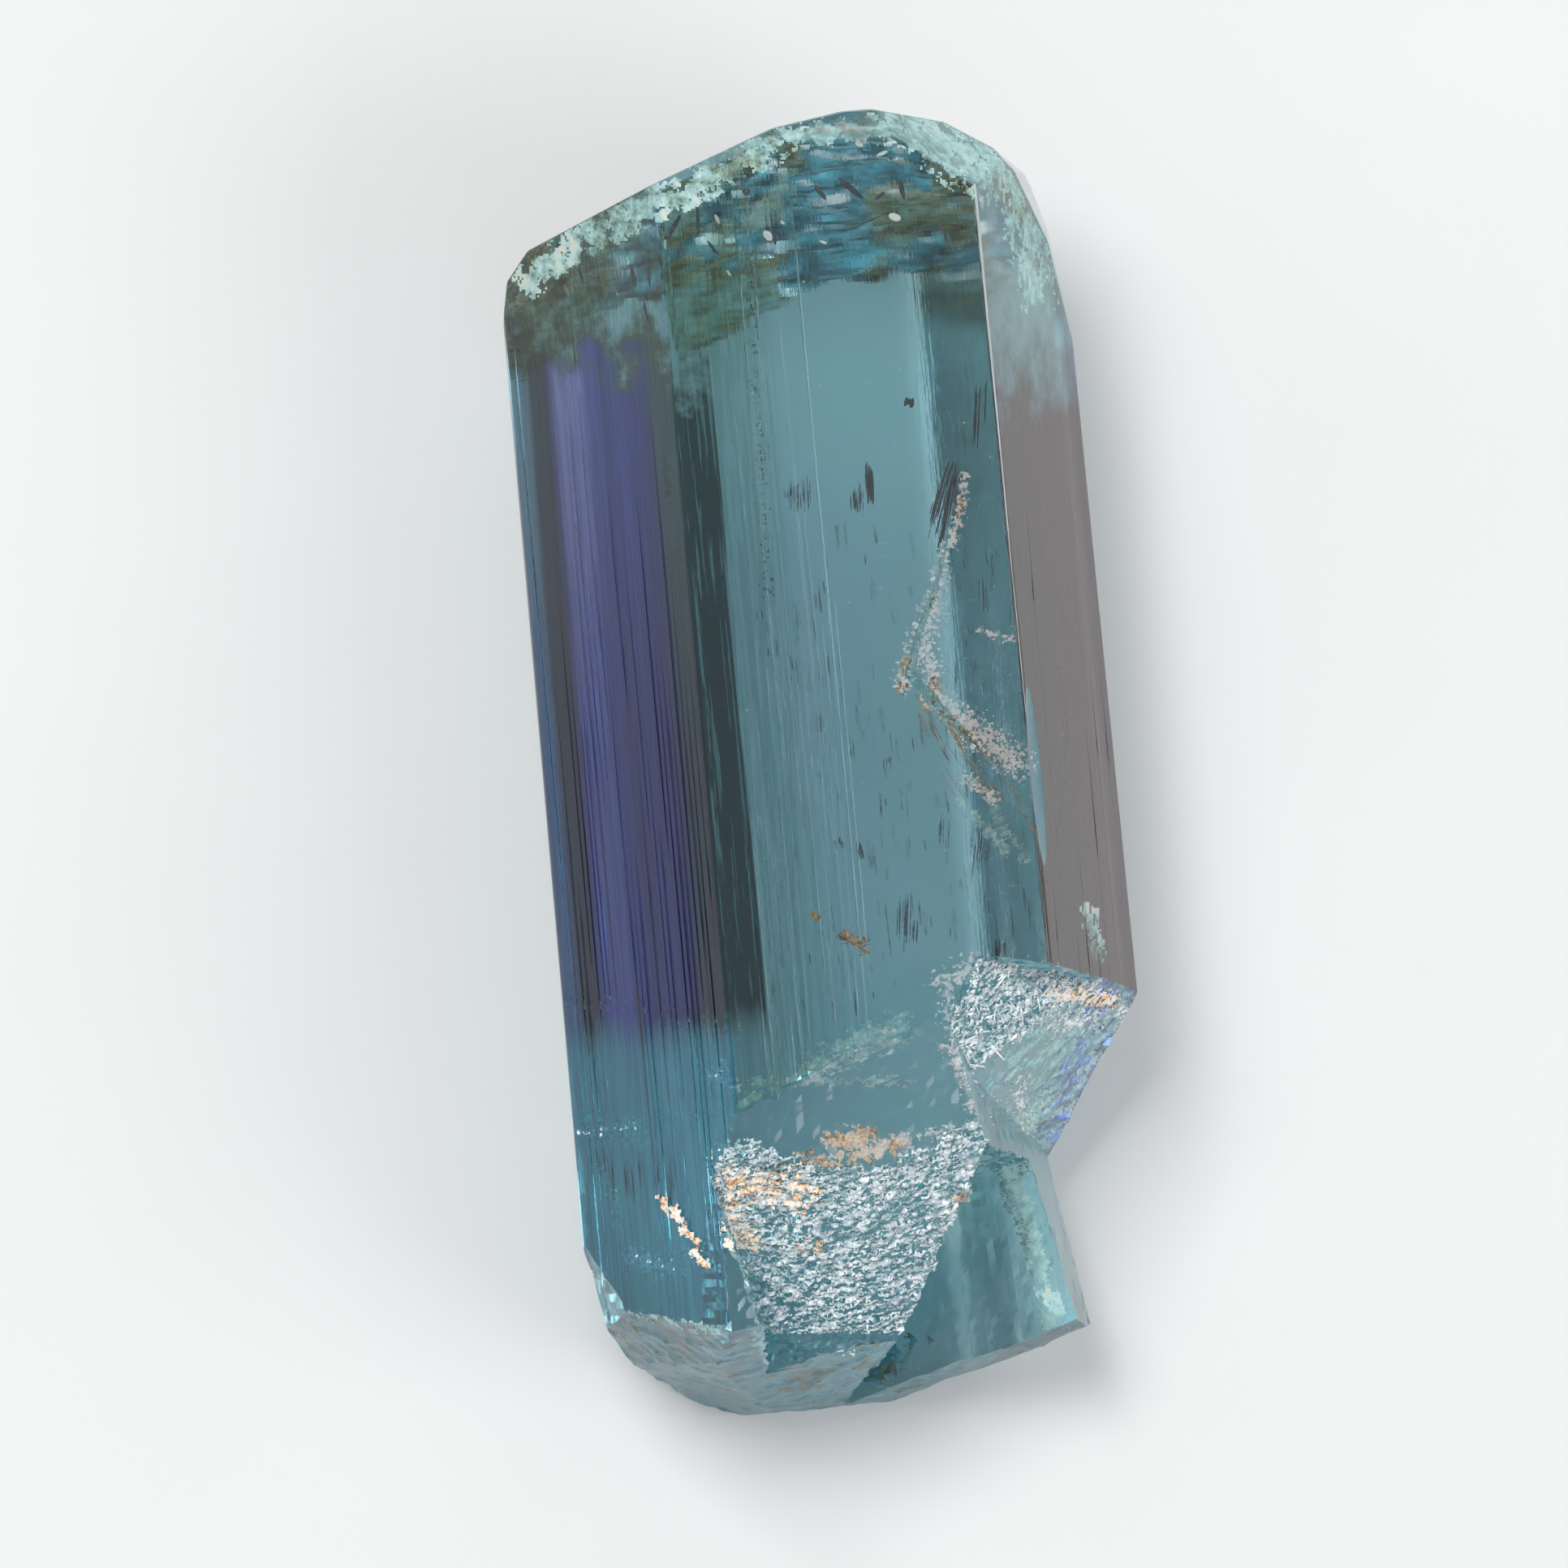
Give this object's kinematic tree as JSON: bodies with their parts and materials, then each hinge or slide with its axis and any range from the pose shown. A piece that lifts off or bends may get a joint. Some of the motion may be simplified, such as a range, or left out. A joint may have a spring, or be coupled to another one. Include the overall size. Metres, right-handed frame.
{
  "type": "aquamarine crystal",
  "caption": "Natural gem crystal, a six-sided prism of clear blue-green beryl with an etched end and a broken base, lying on one prism face.",
  "frame": {"origin": "on the resting face at z 0, under the middle of the crystal's box", "axes": "+Y along the prism to the grown end, +Z out of the broad face opposite the resting one, +X to the right of someone who looks down on it with the grown end away from them"},
  "size_m": [0.0118, 0.0262, 0.0096],
  "materials": {
    "aquamarine": "clear polished blue-green crystal, frosted on its broken faces",
    "iron_stain": "dull rust-orange film and crumbs of iron oxide in cracks and breaks",
    "inclusion": "dark growth tubes and olive-brown mineral flakes sealed in the crystal",
    "crushed_crystal": "white crushed crystal with bright grains along cracks and breaks"
  },
  "bodies": {
    "root": {"aquamarine_crystal": "aquamarine"}
  },
  "joints": []
}
